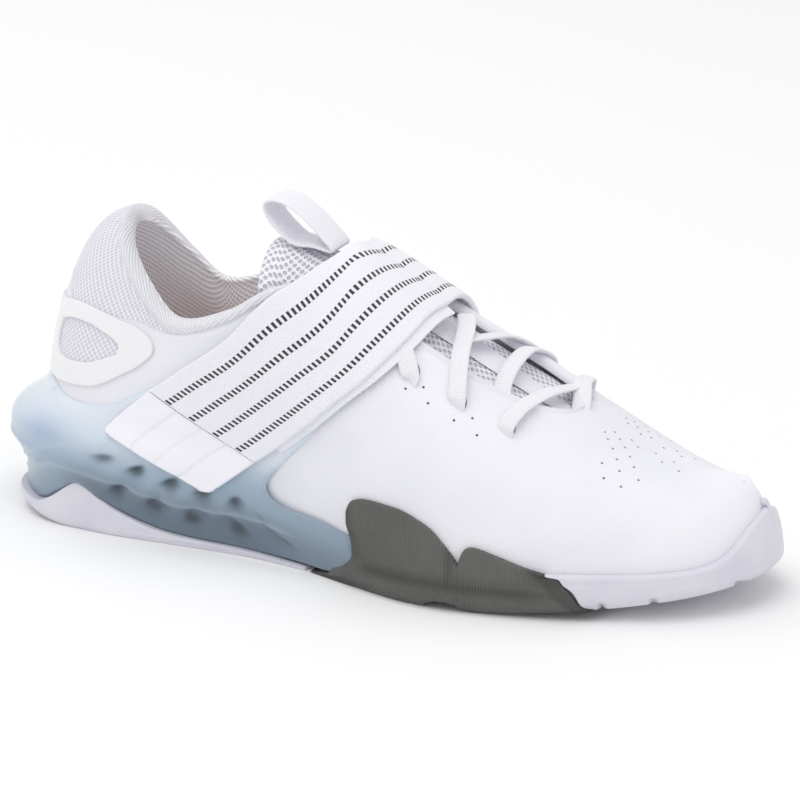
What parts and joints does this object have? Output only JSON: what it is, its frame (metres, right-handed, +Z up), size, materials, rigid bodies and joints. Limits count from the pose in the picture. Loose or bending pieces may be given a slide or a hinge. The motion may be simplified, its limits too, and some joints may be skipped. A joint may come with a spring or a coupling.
{
  "type": "weightlifting shoe",
  "caption": "Low-cut right weightlifting shoe with a raised heel cage, a wide midfoot strap over flat laces, and a wrapped rubber tread.",
  "frame": {"origin": "on the floor under the middle of the heel seat, 40 mm in front of the rear of the heel", "axes": "+X towards the toe, +Z up, the outer side of the right foot towards -Y"},
  "size_m": [0.298, 0.1054, 0.1265],
  "materials": {
    "upper_synthetic": "matte fused synthetic, warm white",
    "counter_film": "smooth fused film, white",
    "mesh_textile": "open knitted mesh, white",
    "insole_foam": "textile-covered foam, grey",
    "cage_plastic": "translucent moulded plastic, pale blue-grey",
    "pale_rubber": "smooth moulded rubber, pale grey",
    "dark_rubber": "moulded rubber with fine ribs, dark grey",
    "strap_webbing": "woven webbing with dark dashes, white",
    "tab_synthetic": "smooth synthetic with shallow grooves, white",
    "lace_cotton": "flat woven lace, white"
  },
  "bodies": {
    "root": {"upper": "upper_synthetic", "heel_counter": "counter_film", "tongue": "mesh_textile", "insole": "insole_foam", "heel_cage": "cage_plastic", "outsole_heel": "pale_rubber", "outsole_forefoot": "pale_rubber", "forefoot_wrap": "dark_rubber", "strap": "strap_webbing", "strap_tab": "tab_synthetic", "laces": "lace_cotton", "pull_loop": "strap_webbing"}
  },
  "joints": []
}
